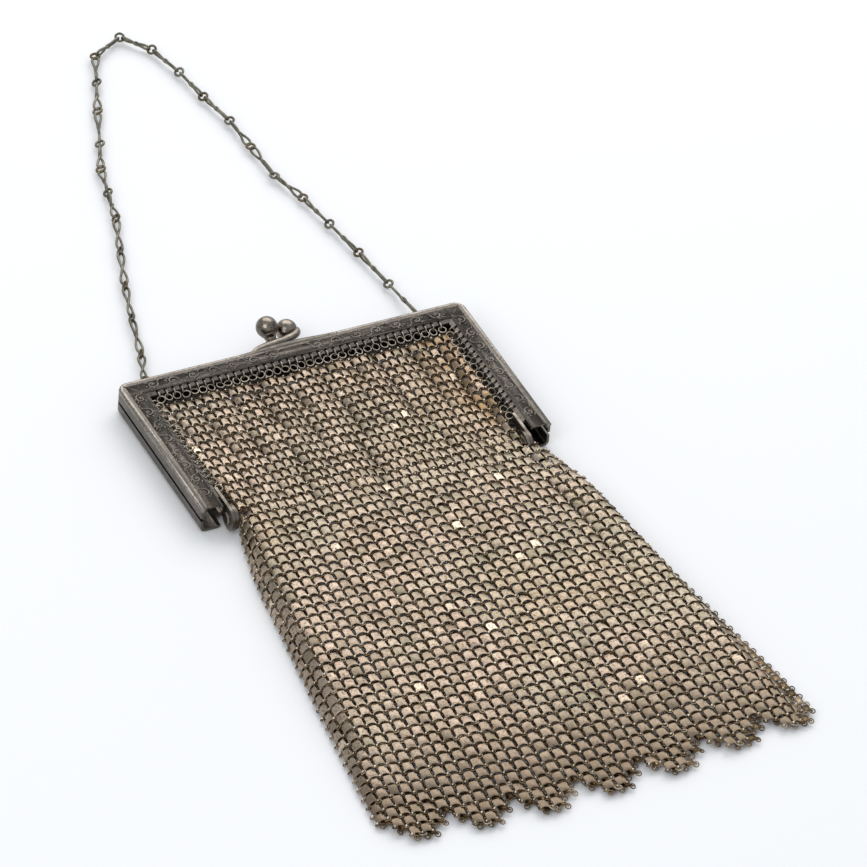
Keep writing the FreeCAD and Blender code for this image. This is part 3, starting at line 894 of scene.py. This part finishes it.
def back_grid():
    """The back's lattice, lying on the surface with its faces down, a little past the front's."""
    hem_x = hem_columns()
    hem_x = hem_x + 1.0 + 2.0 * np.clip((hem_x - 5.0) / 45.0, 0.0, 1.0)
    grid = np.zeros((GRID_ROWS, COLUMNS + 1, 3))
    for j in range(GRID_ROWS):
        y = MESH_START - ROW_PITCH * j
        left, right = station(y, 1), station(y, 2)
        x = np.linspace(left + 1.0, right + 0.2, COLUMNS + 1)
        x = towards_hem(x, hem_x, j)
        z = BACK_Z + math.exp((y + 8.0) / 5.0)
        grid[j] = np.stack([x, y + hem_rise(x, j) - 0.9, np.full_like(x, z)], axis=1)
    jitter = rng.normal(0.0, 0.06, grid.shape)
    jitter[..., 2] *= 0.4
    return grid + jitter


# Half of the plate's outline, from the middle of its bowed top to the middle of its scooped
# foot: x, y and how far the drawn-out corners fold down, mm.
PLATE_SIDE = [(0.00, 1.60, 0.00), (0.52, 1.58, 0.00), (0.98, 1.50, -0.02), (1.28, 1.38, -0.10),
              (1.34, 1.12, -0.04), (1.27, 0.60, 0.00), (1.23, 0.00, 0.00), (1.27, -0.55, 0.00),
              (1.39, -1.10, -0.02), (1.52, -1.54, -0.16), (1.36, -1.64, -0.16), (0.98, -1.32, -0.02),
              (0.52, -1.10, 0.00), (0.00, -1.03, 0.00)]


def star_plate():
    """A square plate with a bowed top, a scooped foot and corners folded down."""
    right = PLATE_SIDE[::-1]
    outline = right + [(-x, y, z) for x, y, z in PLATE_SIDE[1:-1]]
    inner = [(x * 0.90, y * 0.90, z * 0.8 + 0.05) for x, y, z in outline]
    bottom = [(x * 0.97, y * 0.97, z - 0.22) for x, y, z in outline]
    n = len(outline)
    points = outline + inner + bottom + [(0, 0, 0.06), (0, 0, -0.22)]
    faces, marks = [], []
    for i in range(n):
        j = (i + 1) % n
        faces.append([i, j, n + j, n + i])
        faces.append([n + i, n + j, 3 * n])
        faces.append([j, i, 2 * n + i, 2 * n + j])
        faces.append([2 * n + j, 2 * n + i, 3 * n + 1])
        marks += [0, 0, 1, 1]
    return np.array(points), faces, marks


def arm_tip():
    """The rounded end of a plate's arm, where it comes back up through a ring."""
    points, about = [], 6
    for radius, z in ((0.38, -0.16), (0.39, 0.08), (0.26, 0.27)):
        angles = [k * math.tau / about for k in range(about)]
        points += [(radius * math.cos(turn), radius * math.sin(turn), z) for turn in angles]
    points.append((0, 0, 0.34))
    faces = [list(range(about))[::-1]]
    for k in range(about):
        j = (k + 1) % about
        faces.append([k, j, about + j, about + k])
        faces.append([about + k, about + j, 2 * about + j, 2 * about + k])
        faces.append([2 * about + k, 2 * about + j, 3 * about])
    return np.array(points), faces


def unit(vectors):
    """Vectors of the same directions, one long."""
    return vectors / np.maximum(np.linalg.norm(vectors, axis=-1, keepdims=True), 1e-9)


def in_hem(j, i):
    """Whether a plate is there: full rows, then four of each scallop's five, then two."""
    place = i % SCALLOP
    if j < FULL_ROWS:
        return True
    if j == FULL_ROWS:
        return place != 0
    return j == FULL_ROWS + 1 and place in (2, 3)


def held_plates(j, i):
    """The lattice cells, up to four, whose plates meet at a corner."""
    around = [(j - 1, i - 1), (j - 1, i), (j, i - 1), (j, i)]
    return [(b, k) for b, k in around if b >= 0 and 0 <= k < COLUMNS and in_hem(b, k)]


def drawn_in(grid, spots):
    """How far each ring is pulled from its corner towards the plates it holds."""
    pulls = []
    for j, i in spots:
        cells = held_plates(j, i)
        centres = [(grid[b, k] + grid[b + 1, k + 1]) / 2 for b, k in cells]
        share = {1: 0.30, 2: 0.16}.get(len(cells), 0.0)
        pulls.append((np.mean(centres, axis=0) - grid[j, i]) * share)
    return np.array(pulls)


def stamp_plates(parts, grid, rows, outward, tilt):
    """A plate in every cell of some rows, each tipped a little its own way."""
    cells = [(j, i) for j in range(*rows) for i in range(COLUMNS) if in_hem(j, i)]
    j, i = np.array(cells).T
    a, b, c, d = grid[j, i], grid[j, i + 1], grid[j + 1, i], grid[j + 1, i + 1]
    middles = (a + b + c + d) / 4
    x_axes = unit((b + d) - (a + c))
    y_axes = unit((a + b) - (c + d))
    z_axes = unit(np.cross(x_axes, y_axes)) * outward
    lean = rng.normal(0.0, tilt, (len(cells), 2))
    z_axes = unit(z_axes + x_axes * lean[:, :1] + y_axes * lean[:, 1:])
    x_axes = unit(x_axes - z_axes * (x_axes * z_axes).sum(1, keepdims=True)) * outward
    y_axes = np.cross(z_axes, x_axes)
    spacing = np.linalg.norm((b + d) - (a + c), axis=1) / 2
    width = np.clip(spacing / FULL_PLATE, *PLATE_WIDTHS) * np.interp(j, (0, 14), (0.91, 1.0))
    height = np.interp(j, (0, 14, 44, 47), (0.90, 0.98, 1.04, 0.96))
    parts.stamp(star_plate(), middles, x_axes * width[:, None], y_axes * height[:, None], z_axes)


def stamp_rings(parts, grid, rows, outward):
    """A ring at every corner that holds a plate, and the end of a plate's arm in each ring."""
    first, last = rows
    whole_hem = last > FULL_ROWS
    spots = [(j, i) for j in range(first, last + 1) for i in range(COLUMNS + 1)
             if held_plates(j, i) and (j < last or whole_hem)]
    j, i = np.array(spots).T
    middles = grid[j, i] + drawn_in(grid, spots)
    right = grid[j, np.minimum(i + 1, COLUMNS)] - grid[j, np.maximum(i - 1, 0)]
    up = grid[np.maximum(j - 1, 0), i] - grid[np.minimum(j + 1, GRID_ROWS - 1), i]
    x_axes, y_axes = unit(right), unit(up)
    z_axes = unit(np.cross(x_axes, y_axes)) * outward
    bulk = rng.uniform(0.75, 1.10, (len(spots), 1))
    tips = middles + y_axes * 0.10 + z_axes * rng.uniform(0.0, 0.14, (len(spots), 1))
    # The arms' ends take a metal painted much brighter than the plates, as a highlight dot at each
    # corner.
    parts.stamp(arm_tip(), tips, x_axes * bulk, np.cross(z_axes, x_axes) * bulk, z_axes, mark=3)
    lean = rng.normal(0.0, 0.15, (len(spots), 2))
    z_axes = unit(z_axes + x_axes * lean[:, :1] + y_axes * (lean[:, 1:] + RING_LEAN))
    x_axes = unit(x_axes - z_axes * (x_axes * z_axes).sum(1, keepdims=True))
    y_axes = np.cross(z_axes, x_axes)
    parts.stamp(torus(*MESH_RING, 12, 5), middles - z_axes * 0.10, x_axes, y_axes, z_axes, mark=1)


def lattice_piece(name, grid, rows, outward, tilt, materials, larger):
    """Plates and rings of some rows of a lattice, and any larger rings, as one mesh."""
    parts = Parts()
    stamp_plates(parts, grid, rows, outward, tilt)
    stamp_rings(parts, grid, rows, outward)
    if larger:
        parts.stamp(torus(*LARGE_RING, 16, 6), *larger, mark=2)
    piece = parts.piece(name, materials)
    keep_above_floor(piece)
    return piece


def link_rings(grid):
    """Middles and axes of the rings that hang the lattice from the frame's sewing wire."""
    top = [((grid[0, i, 0] + grid[0, i + 1, 0]) / 2, -LINK_INSET, LINK_Z) for i in range(COLUMNS)]
    sides = [(side * (FRAME_WIDTH / 2 - LINK_INSET), grid[j, 0, 1] - 1.6, LINK_Z)
             for j in range(LINKED_ROWS) for side in (-1, 1)]
    middles = np.array(top + sides)
    middles += rng.normal(0.0, 0.10, middles.shape)
    z_axes = unit(np.array((0.0, -0.25, 1.0)) + rng.normal(0.0, 0.16, middles.shape))
    x_axes = unit(np.cross((0.0, 1.0, 0.0), z_axes))
    return middles, x_axes, np.cross(z_axes, x_axes), z_axes


def tip_rings(grid):
    """Middles and axes of the larger single ring at the point of each scallop."""
    corners = [grid[FULL_ROWS + HEM_ROWS, i] for i in range(3, COLUMNS, SCALLOP)]
    middles = np.array(corners) + (0.1, 0.15, -0.1)
    z_axes = unit(np.array((0.0, 0.15, 1.0)) + rng.normal(0.0, 0.12, middles.shape))
    x_axes = unit(np.cross((0.0, 1.0, 0.0), z_axes))
    return middles, x_axes, np.cross(z_axes, x_axes), z_axes


def add_mesh(materials):
    """Both faces of the bag, each as three sheets; all but the top front one ride on the back half.
    """
    grids = {"front": front_grid(), "back": back_grid()}
    outward, tilt = {"front": 1.0, "back": -1.0}, {"front": 0.06, "back": 0.03}
    larger_rings = {"front_mesh_top": link_rings, "front_mesh_hem": tip_rings}
    for face, grid in grids.items():
        for band, first, last, *stands_for in MESH_BANDS:
            name = face + "_mesh_" + band
            larger = larger_rings[name](grid) if name in larger_rings else None
            piece = lattice_piece(name, grid, (first, last), outward[face], tilt[face],
                                  materials, larger)
            if name == "front_mesh_top":
                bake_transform(piece)
            else:
                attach(piece, "back_half")
            nodes = stands_for[0 if face == "front" else 1]
            if nodes:
                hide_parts(*nodes)


# ------------------------------------------------------------------ build

# Dark and light colour, grain of the rubbed patches and, for some, the range of roughness.
METALS = {
    "relief": ((0.115, 0.10, 0.088), (0.22, 0.198, 0.172), 160.0),
    # The ground's darker colour is patina with painted shade between the scrolls.
    "ground": ((0.085, 0.073, 0.062), (0.155, 0.137, 0.118), 200.0),
    # The bead is frame metal painted lighter than the shell, as a highlight along the rolled lip.
    "bead": ((0.22, 0.198, 0.172), (0.36, 0.33, 0.29), 90.0, (0.24, 0.36)),
    "chain": ((0.10, 0.095, 0.07), (0.27, 0.255, 0.20), 300.0),
    "chain_joint": ((0.10, 0.075, 0.045), (0.22, 0.165, 0.11), 300.0),
    "ball": ((0.11, 0.092, 0.078), (0.36, 0.31, 0.26), 200.0, (0.14, 0.28)),
    "post": ((0.19, 0.165, 0.14), (0.40, 0.36, 0.31), 200.0, (0.22, 0.36)),
    "hinge": ((0.10, 0.085, 0.07), (0.36, 0.32, 0.27), 250.0),
    "lug": ((0.20, 0.13, 0.06), (0.45, 0.33, 0.18), 250.0),
    # The arm tips: plate metal painted much brighter, as highlight dots.
    "tip_painted_highlight": ((0.34, 0.29, 0.22), (0.85, 0.78, 0.66), 400.0, (0.16, 0.30)),
    "sewing": ((0.24, 0.21, 0.17), (0.55, 0.49, 0.41), 400.0)}

add_camera()
add_world()
add_area_light("key", place=(0.50, 0.90, 1.00), size=(1.7, 1.2), power=12.5, colour=(1.0, 0.98, 0.95))
add_area_light("fill", place=(-0.9, -0.5, 1.0), size=(0.8, 0.8), power=5.0, colour=(1.0, 0.99, 0.97))
add_floor()

plates = plate_metal()
rings = ring_metal()
frame_metal = shell_metal()
metal = {name: antique_metal(name + "_metal", *look) for name, look in METALS.items()}

paint_nodes(frame_metal, "front_frame_shell", "back_frame_shell")
paint_nodes(metal["sewing"], "front_sewing_rings", "back_sewing_rings")
for side in ("left", "right"):
    paint_nodes(metal["hinge"], "front_hinge_ear_" + side, "back_hinge_ear_" + side,
                "hinge_washer_" + side, "hinge_pin_" + side)
    paint_nodes(metal["lug"], "chain_lug_" + side)

add_frame_relief(metal["relief"], metal["ground"])
add_lip_bead(metal["bead"])
add_clasp(metal["ball"], metal["post"])
add_chain(metal["chain"], metal["chain_joint"])
add_mesh([plates, rings, metal["sewing"], metal["tip_painted_highlight"]])
